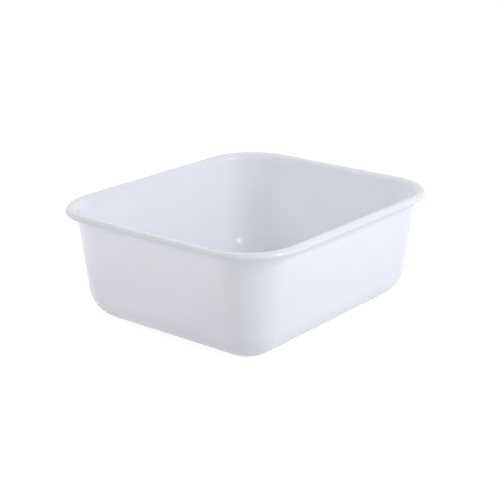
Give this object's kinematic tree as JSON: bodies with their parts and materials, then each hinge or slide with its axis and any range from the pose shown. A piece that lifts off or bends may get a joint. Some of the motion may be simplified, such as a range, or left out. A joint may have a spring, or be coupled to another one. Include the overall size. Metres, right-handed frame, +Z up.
{
  "type": "dish tub",
  "caption": "Open rectangular tub with sloping walls, well rounded corners, a broad fillet round the floor and a rolled rim to lift it by.",
  "frame": {"origin": "middle of the base, on the surface that the tub stands on", "axes": "+Z up, +X along the longer side, +Y along the shorter side"},
  "size_m": [0.368, 0.313, 0.134],
  "materials": {
    "white_plastic": "smooth, glossy, cool white"
  },
  "bodies": {
    "root": {"tub": "white_plastic"}
  },
  "joints": []
}
